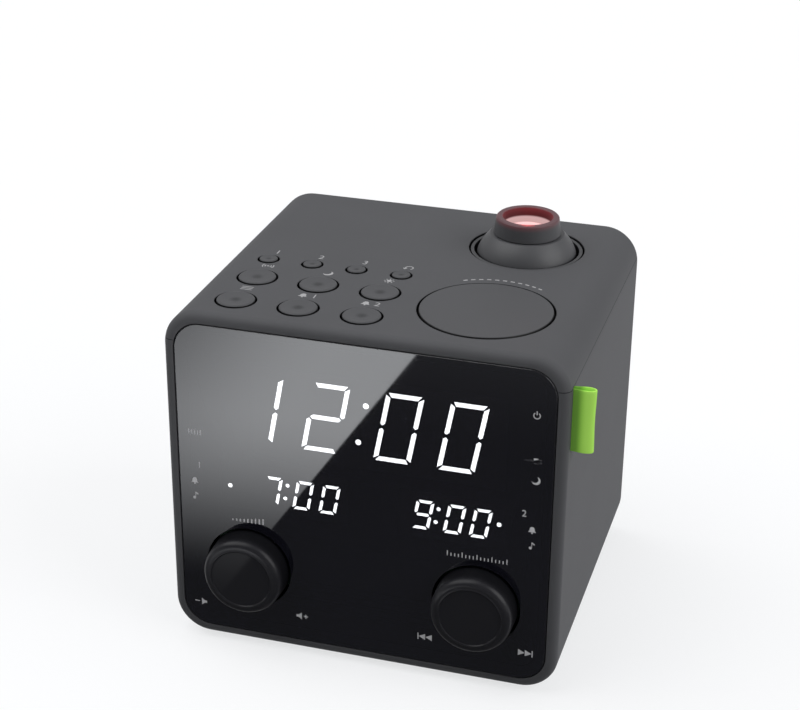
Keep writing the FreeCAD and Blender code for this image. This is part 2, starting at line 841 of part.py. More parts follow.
def projector_head():
    curve, arc, rim_r = bell_outline()
    inner = ball_r - bell_wall
    inner_rim = math.sqrt(inner**2 - (bell_bottom - pivot_drop) ** 2)
    roof_h = 1.2
    roof_r = tube_r + 0.8
    inner_mid = inner * 0.94
    mid_h = -pivot_drop + math.sqrt(inner**2 - inner_mid**2)
    low, mid, high = V(inner_rim, 0, -bell_bottom), V(inner, 0, -pivot_drop), V(inner_mid, 0, mid_h)
    under = Part.Arc(low, mid, high).toShape()
    bore = sleeve_r + run_gap
    last = [
        high,
        V(roof_r, 0, roof_h),
        V(tube_r, 0, roof_h),
        V(tube_r, 0, -tube_drop),
        V(bore, 0, -tube_drop),
        V(bore, 0, -shelf_drop - shelf_t),
        V(shelf_hole_r, 0, -shelf_drop - shelf_t),
        V(shelf_hole_r, 0, -shelf_drop),
        V(bore, 0, -shelf_drop),
        V(bore, 0, neck_h),
        V(neck_r, 0, neck_h),
    ]
    rim = [V(rim_r, 0, -bell_bottom), low]
    wire = Part.Wire([curve, arc] + outline(rim) + [under] + outline(last))
    head = Part.Face(wire).revolve(V(0, 0, 0), UP, 360)
    reach_x = turntable_r - part_gap
    start_x = ball_r - bell_wall / 2
    pins = [
        Part.makeCylinder(pin_r, reach_x - start_x, V(side * start_x, 0, -pivot_drop), V(side, 0, 0))
        for side in (-1, 1)
    ]
    return head.fuse(pins)


def turntable():
    inner = ball_r + part_gap
    body = ring(turntable_r, inner, -collar_drop + part_gap, -wall - part_gap)
    body = body.fuse(ring(turntable_lip_r, inner, -wall - part_gap, -turntable_lip_drop))
    span = 2 * turntable_r + 2
    bore = Part.makeCylinder(pin_r + run_gap, span, V(-span / 2, 0, -pivot_drop), RIGHT)
    return body.removeSplitter().cut(bore)


def retainer():
    low = top - collar_drop - retainer_t
    high = top - collar_drop
    lugs = [post(boss_r, low, high, x, y) for x, y in retainer_lugs()]
    body = post(collar_r + collar_wall, low, high, projector_x, projector_y).fuse(lugs)
    cuts = [post(ball_r + part_gap, low - 1, high + 1, projector_x, projector_y)]
    cuts += [post(screw_r + screw_hole_gap, low - 1, high + 1, x, y) for x, y in retainer_lugs()]
    return body.cut(cuts).removeSplitter()


focus_ring = turned(
    [
        (barrel_bore_r, -sleeve_drop),
        (sleeve_r, -sleeve_drop),
        (sleeve_r, neck_h + part_gap),
        (barrel_foot_r, neck_h + part_gap),
        (barrel_top_r, barrel_h - 0.4),
        (barrel_top_r - 0.4, barrel_h),
        (barrel_bore_r + 0.4, barrel_h),
        (barrel_bore_r, barrel_h - 0.4),
    ]
)
cell_r_out = barrel_bore_r - run_gap
cell_bore = cell_r_out - cell_wall
lens_cell = turned(
    [
        (cell_bore - 0.8, -cell_drop),
        (cell_r_out, -cell_drop),
        (cell_r_out, cell_top),
        (cell_bore + 0.5, cell_top),
        (cell_bore, cell_top - 0.5),
        (cell_bore, lens_seat),
        (cell_bore - 0.8, lens_seat),
    ]
)


def domed_lens(r, z0, edge, crown):
    """A round lens, flat below, with a domed top."""
    ball = (r**2 + crown**2) / (2 * crown)
    tip = z0 + edge + crown
    return post(r, z0, tip, 0, 0).common(Part.makeSphere(ball, V(0, 0, tip - ball)))


slide_top = -shelf_drop - shelf_t
sx, sy, sz = slide_size
lcd_slide = block(-sx / 2, sx / 2, -sy / 2, sy / 2, slide_top - sz, slide_top)
condenser_z = slide_top - sz - condenser_t
condenser = post(sleeve_r, condenser_z, slide_top - sz, 0, 0)
condenser = condenser.makeFillet(1.2, edges_at(condenser, "Z", condenser_z))
lamp = post(lamp_r, -tube_drop, -tube_drop + lamp_h, 0, 0)
lamp = lamp.makeFillet(lamp_r * 0.9, edges_at(lamp, "Z", -tube_drop + lamp_h))
lamp_board = post(tube_r, -tube_drop - lamp_board_t, -tube_drop, 0, 0)
save("projector_head", on_projector(projector_head()))
save("projector_turntable", on_projector(turntable()))
save("turntable_retainer", retainer())
save("focus_ring", on_projector(focus_ring))
save("lens_cell", on_projector(lens_cell))
save("projection_lens", on_projector(domed_lens(cell_bore, lens_seat, lens_edge, lens_crown)))
save("lcd_slide", on_projector(lcd_slide))
save("condenser_lens", on_projector(condenser))
save("projector_lamp", on_projector(lamp))
save("lamp_board", on_projector(lamp_board))

# Speaker on the rear cover


def speaker_basket():
    r, t = speaker_r, speaker_flange_t
    rim = [(r - 3, 0), (r, 0), (r, t), (r - 1.2, t)]
    body = turned(rim + [(15.5, 10), (15.5, 11.5), (8.5, 11.5), (8.5, 10), (13.8, 10), (r - 3, t)])
    windows_cut = [block(5, r - 3, -4.5, 4.5, 4.0, 8.6), block(-r + 3, -5, -4.5, 4.5, 4.0, 8.6)]
    windows_cut += [block(-4.5, 4.5, 5, r - 3, 4.0, 8.6), block(-4.5, 4.5, -r + 3, -5, 4.0, 8.6)]
    return body.cut(windows_cut)


speaker_cone = turned(
    [(0, 5.2), (7, 7), (22, 0.5), (22, 1.1), (7.4, 7.7), (7.4, 9.5), (6.6, 9.5), (6.6, 7.6), (0, 5.8)]
)
speaker_magnet = turned(
    [(0, 9), (6.2, 9), (6.2, 11.5), (magnet_r, 11.5), (magnet_r, 11.5 + magnet_t), (0, 11.5 + magnet_t)]
)
for name, shape in (
    ("speaker_basket", speaker_basket()),
    ("speaker_cone", speaker_cone),
    ("speaker_magnet", speaker_magnet),
):
    save(name, facing_back(shape, speaker_x, cover_front, speaker_z))

# Main board with its parts and the supply socket

board_top = main_board_z + board_t


def main_board():
    plate = block(-main_board_x, main_board_x, *main_board_y, main_board_z, board_top)
    return plate.cut([post(screw_r + screw_hole_gap, 0, top, x, y) for x, y in main_posts])


def dc_jack():
    sx, sy, sz = jack_size
    y1 = cover_front
    body = block(jack_x - sx / 2, jack_x + sx / 2, y1 - sy, y1, board_top, board_top + sz)
    bore = rod(jack_bore_r, y1 - jack_bore, y1 + 1, jack_x, jack_mouth_z)
    pin = rod(jack_pin_r, y1 - jack_bore - 1, y1 - jack_pin_set_back, jack_x, jack_mouth_z)
    return body.cut(bore).fuse(pin).removeSplitter()


def aerial_grommet():
    """Soft bush in the rear cover that the wire aerial comes out of."""
    lip = rod(aerial_r + 1.2, depth, depth + aerial_lip, aerial_x, aerial_z)
    neck = rod(aerial_r, cover_front, depth, aerial_x, aerial_z)
    inner = rod(aerial_r + 1.0, cover_front - 1.2, cover_front, aerial_x, aerial_z)
    return lip.fuse([neck, inner]).cut(rod(aerial_bore_r, 0, depth + 5, aerial_x, aerial_z)).removeSplitter()


save("main_board", main_board())
save("dc_jack", dc_jack())
save("aerial_grommet", aerial_grommet())
save("tuner_can", block(-40, -20, 34, 50, board_top, board_top + 6))
save("capacitors", *[post(5.0, board_top, board_top + 14, x, 84) for x in (12.0, 24.0)])
chips = [(0.0, 40.0, 7.0), (26.0, 48.0, 5.0), (-30.0, 66.0, 6.0)]
save("board_chips", *[block(x - s, x + s, y - s, y + s, board_top, board_top + 2.2) for x, y, s in chips])

# Screws inside the case

down_screw = screw(screw_len - 1.0)
inner_screws = [moved(down_screw, x, y, board_top) for x, y in main_posts]
up_screw = screw(screw_len - 1.0 + board_t - 1.0).mirror(V(0, 0, 0), UP)
inner_screws += [moved(up_screw, x, y, key_board_top - board_t) for x, y in key_posts()]
inner_screws += [moved(up_screw, x, y, top - collar_drop - retainer_t) for x, y in retainer_lugs()]
front_screw = facing_front(screw(4.0 + board_t - 1.0), 0, 0, 0)
inner_screws += [moved(front_screw, x, board_back, z) for x, z in board_screws]
speaker_screw = facing_back(screw(speaker_flange_t + 1.0), 0, 0, 0)
inner_screws += [moved(speaker_screw, x, cover_front - speaker_flange_t, z) for x, z in speaker_screws()]
save("inner_screws", *inner_screws)

# Flat cables and speaker leads


def bent_strip(y0, z0, y1, z1, r, t, x0, x1):
    """A flat cable that leaves y0 backwards at height z0 and turns down, or up, to end at y1, z1."""
    way = 1 if z1 > z0 else -1
    flat_run = block(x0, x1, y0, y1 - r, z0 - t / 2, z0 + t / 2)
    low, high = sorted((z0 + way * r, z1))
    upright = block(x0, x1, y1 - t / 2, y1 + t / 2, low, high)
    centre = V(x0, y1 - r, z0 + way * r)
    bend = Part.makeCylinder(r + t / 2, x1 - x0, centre, RIGHT).cut(
        Part.makeCylinder(r - t / 2, x1 - x0, centre, RIGHT)
    )
    low, high = sorted((z0 + way * r, z0 - way * (t / 2)))
    corner = block(x0, x1, y1 - r, y1 + t / 2, low, high)
    return flat_run.fuse([bend.common(corner), upright]).removeSplitter()


cable_t = 0.7
save("display_ribbon", bent_strip(board_back, 36.0, 28.0, board_top, 4.0, cable_t, -26.0, -8.0))
save("key_ribbon", bent_strip(board_back, 92.0, 20.0, key_board_top - board_t, 4.0, cable_t, -20.0, -6.0))


def lead(points, r):
    """A round wire through the given points, with a tangent arc at each turn."""
    run, edges = points[0], []
    for before, corner, after in zip(points, points[1:], points[2:]):
        a, b = before.sub(corner), after.sub(corner)
        turn = math.pi - a.getAngle(b)
        bend_r = 0.45 * min(a.Length, b.Length) / math.tan(turn / 2)
        back = bend_r * math.tan(turn / 2)
        start = corner.add(V(a).normalize().multiply(back))
        end = corner.add(V(b).normalize().multiply(back))
        towards = V(a).normalize().add(V(b).normalize()).normalize()
        centre = corner.add(V(towards).multiply(bend_r / math.cos(turn / 2)))
        mid = centre.sub(V(towards).multiply(bend_r))
        edges += [Part.makeLine(run, start), Part.Arc(start, mid, end).toShape()]
        run = end
    edges.append(Part.makeLine(run, points[-1]))
    path = Part.Wire(edges)
    first = points[1].sub(points[0])
    profile = Part.Wire(Part.makeCircle(r, points[0], first))
    return path.makePipeShell([profile], True, False)


lead_r = 0.7
lead_start_y = cover_front - 11.5
leads = []
for side in (-1, 1):
    x = speaker_x + side * 1.6
    z = speaker_z - 14.75
    leads.append(
        lead(
            [
                V(x, lead_start_y, z),
                V(x, lead_start_y - 9, z - 1),
                V(x, lead_start_y - 14, z - 9),
                V(x, lead_start_y - 14, board_top),
            ],
            lead_r,
        )
    )
save("speaker_leads", *leads)

# Fabric tab: a ribbon folded in a loop and held in the case's slit


def side_tab():
    z0, z1 = seam_z - tab_drop - tab_h, seam_z - tab_drop
    outer_r = tab_t + tab_space / 2
    fold_x = tab_edge - outer_r
    inside_x = half - wall - tab_in
    loop = block(inside_x, fold_x, tab_y - outer_r, tab_y + outer_r, z0, z1)
    loop = loop.fuse(post(outer_r, z0, z1, fold_x, tab_y))
    space = block(inside_x - 1, fold_x, tab_y - tab_space / 2, tab_y + tab_space / 2, z0, z1)
    return loop.cut([space, post(tab_space / 2, z0, z1, fold_x, tab_y)]).removeSplitter()


save("side_tab", side_tab())
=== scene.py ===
import math

import bpy
from mathutils import Matrix, Vector


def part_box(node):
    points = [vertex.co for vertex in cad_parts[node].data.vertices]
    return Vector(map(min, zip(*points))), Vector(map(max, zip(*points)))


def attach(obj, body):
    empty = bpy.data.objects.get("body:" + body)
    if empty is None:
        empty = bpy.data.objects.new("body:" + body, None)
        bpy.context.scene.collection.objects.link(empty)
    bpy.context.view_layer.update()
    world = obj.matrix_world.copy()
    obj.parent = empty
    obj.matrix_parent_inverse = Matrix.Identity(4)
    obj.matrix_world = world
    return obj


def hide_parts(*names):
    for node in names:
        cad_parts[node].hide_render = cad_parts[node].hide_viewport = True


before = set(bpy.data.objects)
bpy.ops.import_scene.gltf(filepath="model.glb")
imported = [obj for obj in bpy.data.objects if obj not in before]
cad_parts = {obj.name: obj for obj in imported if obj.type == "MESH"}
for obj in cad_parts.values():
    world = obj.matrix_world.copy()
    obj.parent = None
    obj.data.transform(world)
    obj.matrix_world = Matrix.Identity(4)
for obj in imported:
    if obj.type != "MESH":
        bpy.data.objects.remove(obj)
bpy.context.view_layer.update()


# Case: two mouldings of matte grey ABS, the top and the tub, that meet in a fine line just below the top.
# The tool is spark-eroded, so the skin has a fine even grain, and the edges come out a touch smoother.
class Wire:
    """A value that comes out of a node. A Python sum with it adds the Math node for that sum."""

    def __init__(self, finish, socket):
        self.finish, self.socket = finish, socket

    def maths(self, operation, *values):
        return self.finish.node("ShaderNodeMath", {"operation": operation}, dict(enumerate(values)))

    def __add__(self, other):
        return self.maths("ADD", self, other)

    def __sub__(self, other):
        return self.maths("SUBTRACT", self, other)

    def __rsub__(self, other):
        return self.maths("SUBTRACT", other, self)

    def __mul__(self, other):
        return self.maths("MULTIPLY", self, other)

    def __truediv__(self, other):
        return self.maths("DIVIDE", self, other)

    def __pow__(self, other):
        return self.maths("POWER", self, other)

    def __abs__(self):
        return self.maths("ABSOLUTE", self)

    __radd__ = __add__
    __rmul__ = __mul__

    def step(self, low, high):
        """0 below low, 1 above high, and a smooth rise between them. Low may be above high for a fall."""
        kind = {"interpolation_type": "SMOOTHSTEP"}
        flip = low > high
        ends = {"Value": self, "From Min": min(low, high), "From Max": max(low, high)}
        rise = self.finish.node("ShaderNodeMapRange", kind, ends)
        return 1 - rise if flip else rise

    def below(self, high, soft=0.0001):
        return self.step(high + soft, high - soft)

    def between(self, low, high, soft=0.0001):
        return self.step(low - soft, low + soft) * self.below(high, soft)

    def wave(self, pitch):
        """A sine of this pitch, from 0 to 1."""
        angle = self * (2 * math.pi / pitch)
        return angle.maths("SINE", angle) * 0.5 + 0.5

    def or_higher(self, other):
        return self.maths("MAXIMUM", self, other)

    def away(self, other):
        """The distance from the line where both this and the other are 0."""
        return (self * self + other * other) ** 0.5


class Finish:
    """One material, or the world, while it is made."""

    def __init__(self, name, kind="materials"):
        self.material = getattr(bpy.data, kind).new(name)
        self.material.use_nodes = True
        self.tree = self.material.node_tree
        self.output = self.tree.nodes["Material Output" if kind == "materials" else "World Output"]
        self.shader = self.tree.nodes["Principled BSDF" if kind == "materials" else "Background"]

    def node(self, kind, settings=None, values=None, out=0):
        """A node with its settings, then the values or links of its sockets, and one output as a Wire."""
        node = self.tree.nodes.new(kind)
        for key, value in (settings or {}).items():
            setattr(node, key, value)
        for key, value in (values or {}).items():
            self.put(node.inputs[key], value)
        return Wire(self, node.outputs[out])

    def put(self, socket, value):
        if isinstance(value, Wire):
            self.tree.links.new(value.socket, socket)
        else:
            short = hasattr(value, "__len__") and len(value) == 3 and socket.type == "RGBA"
            socket.default_value = (*value, 1) if short else value

    def surface(self, **values):
        """Sets the shader's own sockets, whose names have spaces where these have underscores."""
        for key, value in values.items():
            self.put(self.shader.inputs[key.replace("_", " ")], value)
        return self.material

    def along(self, axis, place="Object"):
        """The X, Y or Z coordinate: metres on an object, a share of the view direction in the world."""
        where = self.node("ShaderNodeTexCoord", out=place)
        return self.node("ShaderNodeSeparateXYZ", None, {"Vector": where}, out=axis)

    def noise(self, scale, detail=2.0, stretch=None):
        where = self.node("ShaderNodeTexCoord", out="Object")
        if stretch:
            where = self.node("ShaderNodeMapping", None, {"Vector": where, "Scale": stretch})
        return self.node("ShaderNodeTexNoise", None, {"Vector": where, "Scale": scale, "Detail": detail})

    def mix(self, share, first, second):
        sockets = {"Factor": share, 6: first, 7: second}
        return self.node("ShaderNodeMix", {"data_type": "RGBA"}, sockets, out=2)

    def bump(self, height, depth, strength=1.0, edge=0.0):
        sockets = {"Height": height, "Distance": depth, "Strength": strength}
        if edge:
            sockets["Normal"] = self.node("ShaderNodeBevel", {"samples": 4}, {"Radius": edge})
        return self.node("ShaderNodeBump", None, sockets)


def coat(finish, *nodes):
    """Gives CAD nodes this finish in every slot they have."""
    for name in nodes:
        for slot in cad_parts[name].material_slots:
            slot.material = finish


# Painted shade: the near black of surfaces that lie in gaps, holes and the barrel's bore.
shade_black = (0.003, 0.003, 0.004)


def moulded(name, dark, light, rough, grain, depth, edge=0.0002, painted_shade=None, gloss=0.5):
    """Moulded plastic: a faint cloud in the colour, and an eroded grain in the skin.

    Its shade argument gives the share of the surface that lies in a gap, which is painted near black as
    shade.
    """
    made = Finish(name)
    cloud, fine = made.noise(30, 3.0), made.noise(grain, 2.0)
    colour = made.mix(cloud * 0.6 + fine * 0.4, dark, light)
    if painted_shade:
        colour = made.mix(painted_shade(made), colour, shade_black)
    return made.surface(
        Base_Color=colour,
        Roughness=rough + (fine - 0.5) * 0.16,
        Specular_IOR_Level=gloss,
        Normal=made.bump(fine, depth, 0.6, edge),
    )


case_low, case_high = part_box("upper_housing")
case_top = case_high.z
case_mid = (case_low.x + case_high.x) / 2
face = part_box("front_lens")[0].y
seam_z, seam_half = case_top - 0.0102, 0.00013
ledge_aside, ledge_foot, ledge_head = 0.06145, 0.0053, case_top - 0.0034
top_corners, low_corners = 0.1750, 0.0540
holes_aside, holes_foot, holes_head = 0.0550, case_top - 0.0040, case_top - 0.0003


def gap_shade_and_seam(made):
    """Painted shade on the ledge under the panel and the walls of the holes in the top, and the dark line
    where top and tub meet.
    """
    across, back_in_painted_shade, up = (made.along(axis) for axis in "XYZ")
    aside = abs(across - case_mid)
    ledge = aside.below(ledge_aside, 0.00015) * back_in_painted_shade.between(face + 0.0018, face + 0.0045)
    ledge = ledge * up.between(ledge_foot, ledge_head)
    ledge = ledge * (aside + up).below(top_corners, 0.0005) * (aside - up).below(low_corners, 0.0005)
    walls = aside.below(holes_aside, 0.0002) * back_in_painted_shade.between(face + 0.0040, face + 0.1100)
    walls = walls * up.between(holes_foot, holes_head)
    seam = aside.step(0.0612, 0.0614) * up.between(seam_z - seam_half, seam_z + seam_half, 0.00004) * 0.9
    return seam.or_higher(ledge.or_higher(walls))


# Painted shade: the ledge under the panel and the walls of the holes in the top are near black.
case_grey = moulded("case_grey", (0.085, 0.086, 0.092), (0.108, 0.110, 0.118), 0.64, 2400, 0.00006,
                    painted_shade=gap_shade_and_seam, gloss=0.2)
coat(case_grey, "upper_housing", "lower_housing", "rear_cover", "battery_door")


# Keys: eleven caps of the same grey, moulded smoother, since fingers polish them. Each stands a little
# proud in its hole, and its side low in the gap is painted dark as shade.
def shade_below(bare, dark):
    """Painted shade low down: bare at the first height over the case's top, and dark at the second."""
    return lambda made: made.along("Z").step(case_top + bare, case_top + dark)


key_names = [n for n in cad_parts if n.endswith("_key") or n.startswith("preset_key")]
key_grey = moulded("key_grey", (0.077, 0.078, 0.084), (0.097, 0.099, 0.106), 0.54, 3000, 0.00004,
                   painted_shade=shade_below(0.00023, 0.00007), gloss=0.3)
coat(key_grey, *key_names)

# Projector head: a smooth satin bell in a turntable ring. Below the top of the case both are painted dark
# as the shade of the hole.
head_grey = moulded("head_grey", (0.072, 0.073, 0.079), (0.087, 0.089, 0.096), 0.46, 3400, 0.00002,
                    painted_shade=shade_below(-0.0004, -0.0012))
coat(head_grey, "projector_head")
ring_grey = moulded("ring_grey", (0.060, 0.061, 0.066), (0.075, 0.077, 0.083), 0.5, 3400, 0.00003,
                    painted_shade=shade_below(-0.0006, -0.0009))
coat(ring_grey, "projector_turntable")

# Black parts: the carrier and the display blocks behind the panel are dead matt, so that nothing shows
# until a figure lights. The socket and the parts inside are plain black mouldings.
mask_black = moulded("mask_black", (0.002, 0.002, 0.002), (0.003, 0.003, 0.003), 0.9, 1800, 0.00001,
                     gloss=0.02)
coat(mask_black, "display_carrier", "time_display", "alarm_one_display", "alarm_two_display")
inside_black = moulded("inside_black", (0.006, 0.006, 0.007), (0.012, 0.012, 0.013), 0.55, 1800, 0.00004)
coat(inside_black, "turntable_retainer", "dc_jack", "speaker_basket", "capacitors", "board_chips",
     "volume_encoder", "tuning_encoder", "tact_switches")

# Front panel: one sheet of smoked acrylic, polished, that lies in the tub's rim and hides the displays
# until they light. Its face is hard and glossy, with the faintest ripple of a moulded sheet.
# Its edge is cut and left rough, and its back lets more light through than its face.
smoke = Finish("smoked_acrylic")
cut_edge = smoke.along("Y").step(face + 0.00002, face + 0.0001)
back_half = smoke.along("Y").step(face + 0.0006, face + 0.0010)
smoke.surface(
    Base_Color=smoke.mix(smoke.noise(8, 2.0), (0.006, 0.006, 0.011), (0.009, 0.009, 0.016)),
    Roughness=0.02 + smoke.noise(60, 3.0) * 0.02 + cut_edge * 0.6,
    IOR=1.75,
    Alpha=0.88 - back_half * 0.38,
    Normal=smoke.bump(smoke.noise(14, 1.0), 0.00002, 0.12),
)
smoke.material.use_transparent_shadow = True
coat(smoke.material, "front_lens")

# Figures: white LED segments in three black display blocks. Each bar is a light pipe that glows evenly
# and strongly, because it is seen through the smoked panel.
lit = Finish("lit_white")
lit.surface(
    Base_Color=(0.7, 0.7, 0.7),
    Roughness=0.5,
    Emission_Color=lit.mix(lit.noise(900, 1.0), (0.88, 0.92, 1.0), (1.0, 1.0, 1.0)),
    Emission_Strength=24.0,
)
coat(lit.material, "time_segments", "alarm_one_segments", "alarm_two_segments")

# Knobs: black mouldings with a soft satin skin, on encoder shafts behind the panel.
# The face is a flat disc, smoother than the rounded shoulder; the side is painted darker towards the back as
# shade.
knob_aside, knob_up, knob_face_r = 0.0382, 0.0303, 0.0100
satin = Finish("knob_satin")
skin = satin.noise(1500, 2.0)
# Painted shade: the knob's colour darkens towards the back, into the well.
back_in_painted_shade = satin.along("Y").step(face - 0.0072, face - 0.0035)
off_x, off_z = abs(satin.along("X") - case_mid) - knob_aside, satin.along("Z") - knob_up
shoulder = off_x.away(off_z).step(knob_face_r, knob_face_r + 0.0003)
satin.surface(
    Base_Color=satin.mix(back_in_painted_shade, (0.021, 0.021, 0.025), (0.006, 0.006, 0.008)),
    Roughness=0.06 + skin * 0.04 + shoulder * 0.22 + back_in_painted_shade * 0.15,
    Specular_IOR_Level=0.24,
    Normal=satin.bump(skin, 0.00001, 0.2, 0.0004),
)
coat(satin.material, "volume_knob", "tuning_knob")

# Small hardware: zinc-plated screws and shafts, tinned cans, boards, rubber feet and bush, cells.
# Each has the grain of its own process: turning marks, rolling streaks, woven glass, pitted rubber.
steel = Finish("plated_steel")
streak = steel.noise(700, 3.0, (1, 1, 6))
steel.surface(
    Base_Color=steel.mix(streak, (0.42, 0.42, 0.43), (0.60, 0.60, 0.61)),
    Metallic=1.0,
    Roughness=0.26 + streak * 0.18,
    Normal=steel.bump(streak, 0.00002, 0.3, 0.00015),
)
coat(steel.material, "rear_cover_screws", "inner_screws", "battery_contacts", "volume_shaft", "tuning_shaft")
tin = Finish("tin_plate")
roll = tin.noise(260, 4.0, (8, 1, 1))
tin.surface(
    Base_Color=tin.mix(roll, (0.50, 0.50, 0.49), (0.66, 0.66, 0.64)),
    Metallic=1.0,
    Roughness=0.30 + roll * 0.2,
    Normal=tin.bump(roll, 0.00002, 0.3),
)
coat(tin.material, "tuner_can")
rubber = moulded("feet_rubber", (0.012, 0.012, 0.012), (0.026, 0.026, 0.026), 0.78, 1500, 0.0001)
coat(rubber, "rubber_feet", "aerial_grommet")
board = Finish("circuit_board")
glass_weave = board.noise(3000, 1.0, (1, 4, 1))
green = board.noise(160, 3.0) * 0.6 + glass_weave * 0.4
board.surface(
    Base_Color=board.mix(green, (0.006, 0.05, 0.022), (0.02, 0.11, 0.05)),
    Roughness=0.35 + glass_weave * 0.1,
    Normal=board.bump(glass_weave, 0.00002, 0.3),
)
coat(board.material, "main_board", "front_board", "key_board", "lamp_board")
paper = Finish("cone_paper")
fibre = paper.noise(2200, 4.0)
paper.surface(
    Base_Color=paper.mix(fibre, (0.012, 0.011, 0.010), (0.035, 0.033, 0.030)),
    Roughness=0.85 + (fibre - 0.5) * 0.1,
    Normal=paper.bump(fibre, 0.0001, 0.6),
)
coat(paper.material, "speaker_cone")
ferrite = moulded("ferrite", (0.03, 0.03, 0.032), (0.06, 0.06, 0.062), 0.6, 900, 0.00005)
coat(ferrite, "speaker_magnet")
sheath = moulded("cable_sheath", (0.45, 0.45, 0.46), (0.58, 0.58, 0.58), 0.5, 1200, 0.00003)
coat(sheath, "display_ribbon", "key_ribbon", "speaker_leads")
wrap = Finish("cell_wrap")
print_edge = abs(wrap.along("X") - case_mid).step(0.0195, 0.0197)
wrap.surface(
    Base_Color=wrap.mix(print_edge, (0.07, 0.09, 0.13), (0.55, 0.42, 0.16)),
    Roughness=0.3 + wrap.noise(500, 2.0) * 0.1,
    Normal=wrap.bump(wrap.noise(300, 2.0), 0.00002, 0.3),
)
coat(wrap.material, "backup_cells")

# Lens: a ground glass lens in a black cell that slides in the barrel. The lamp below is on, and the lens
# and the rim of its cell glow a warm pinkish white as painted light, palest at the lens's middle.
glow = Finish("lens_painted_glow")
lens_low, lens_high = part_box("projection_lens")
lens_mid = (lens_low + lens_high) / 2
lens_r = (lens_high.x - lens_low.x) / 2
off_x, off_y = glow.along("X") - lens_mid.x, glow.along("Y") - lens_mid.y
from_middle = off_x.away(off_y) / lens_r
glow.surface(
    Base_Color=glow.mix(glow.noise(500, 2.0), (0.26, 0.20, 0.20), (0.32, 0.25, 0.25)),
    Roughness=0.06 + glow.noise(800, 2.0) * 0.05,
    # Painted light: the lens glows, palest at its middle.
    Emission_Color=glow.mix(from_middle.step(0.70, 1.0), (1.0, 0.74, 0.73), (0.85, 0.48, 0.48)),
    Emission_Strength=0.60,
)
coat(glow.material, "projection_lens")
cell = Finish("cell_painted_glow")
# Painted light: the top of the cell's rim glows.
rim_painted_glow = cell.along("Z").step(lens_high.z - 0.0022, lens_high.z - 0.0010)
fine = cell.noise(1800, 2.0)
cell.surface(
    Base_Color=cell.mix(fine, (0.006, 0.006, 0.007), (0.012, 0.012, 0.013)),
    Roughness=0.5 + fine * 0.1,
    Emission_Color=cell.mix(rim_painted_glow, (0, 0, 0), (1.0, 0.62, 0.61)),
    Emission_Strength=0.55,
)
coat(cell.material, "lens_cell")

# Focus ring: the same grey as the head outside. Its bore is painted black as shade, and painted red as the
# lamp's light: bright next to the lens and dark red above it. The ring's top has a faint painted red glow,
# and below the case's top the ring is painted dark as the shade of the hole.
bore_r = 0.0083
barrel = Finish("barrel_grey")
fine, over_lens = barrel.noise(3400, 2.0), barrel.along("Z") - lens_high.z
off_x, off_y = barrel.along("X") - lens_mid.x, barrel.along("Y") - lens_mid.y
bore = off_x.away(off_y).step(bore_r + 0.0002, bore_r)
grey = barrel.mix(fine, (0.068, 0.069, 0.075), (0.083, 0.085, 0.091))
# Painted light: the bore's glow, bright next to the lens and dark red above it, and a faint red on the
# ring's top.
bore_red_glow = barrel.mix(over_lens.step(0.0003, 0.0011), (0.60, 0.38, 0.38), (0.055, 0.002, 0.004))
bore_red_glow = barrel.mix(over_lens.step(0.0014, 0.0036), bore_red_glow, (0.11, 0.012, 0.016))
top_red_glow = barrel.mix(over_lens.step(0.0016, 0.0037), (0, 0, 0), (0.055, 0.0, 0.003))
barrel.surface(
    # Painted shade: the bore and the part below the case's top are near black.
    Base_Color=barrel.mix(bore.or_higher(shade_below(-0.0004, -0.0012)(barrel)), grey, shade_black),
    Roughness=0.38 + fine * 0.16,
    Normal=barrel.bump(fine, 0.00002, 0.6, 0.0002),
    Specular_IOR_Level=0.3,
    Emission_Color=barrel.mix(bore * over_lens.step(-0.0006, -0.0002), top_red_glow, bore_red_glow),
    Emission_Strength=1.0,
)
coat(barrel.material, "focus_ring")

# Optics below the lens: the clear slide with the figures, the condenser, and the red lamp itself.
# A small red light at the mouth of the barrel stands for what gets out, and tints the rim.
slide_glass = Finish("slide_glass")
slide_glass.surface(
    Base_Color=slide_glass.mix(slide_glass.noise(400, 2.0), (0.75, 0.80, 0.82), (0.85, 0.88, 0.90)),
    Roughness=0.05 + slide_glass.noise(90, 2.0) * 0.04,
    Transmission_Weight=0.9,
)
coat(slide_glass.material, "lcd_slide", "condenser_lens")
lamp = Finish("red_lamp")
lamp.surface(
    Base_Color=(0.7, 0.03, 0.03),
    Roughness=0.25 + lamp.noise(900, 2.0) * 0.1,
    Emission_Color=lamp.mix(lamp.noise(300, 2.0), (1.0, 0.05, 0.03), (1.0, 0.12, 0.08)),
    Emission_Strength=1.5,
)
coat(lamp.material, "projector_lamp")
bpy.ops.object.select_all(action="DESELECT")
bpy.ops.object.light_add(type="POINT", location=(lens_mid.x, lens_mid.y, lens_high.z + 0.0046))
beam = bpy.context.active_object
beam.name, beam.data.color = "lens_light", (1.0, 0.06, 0.07)
beam.data.energy, beam.data.shadow_soft_size = 0.003, 0.002

# Ribbon tab: a loop of lime green woven tape, folded once and held in a slit behind the panel's rim.
# The weave runs across the tape, the two edges are pale stitched selvedges, and the loop stands open.
# Next to the body the tape is painted dark green as shade, the fold and the edges away from the body
# have painted highlights, and the tape glows a little as painted light.
tab_low, tab_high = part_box("side_tab")
tab_mid, tab_h = (tab_low.y + tab_high.y) / 2, tab_high.z - tab_low.z
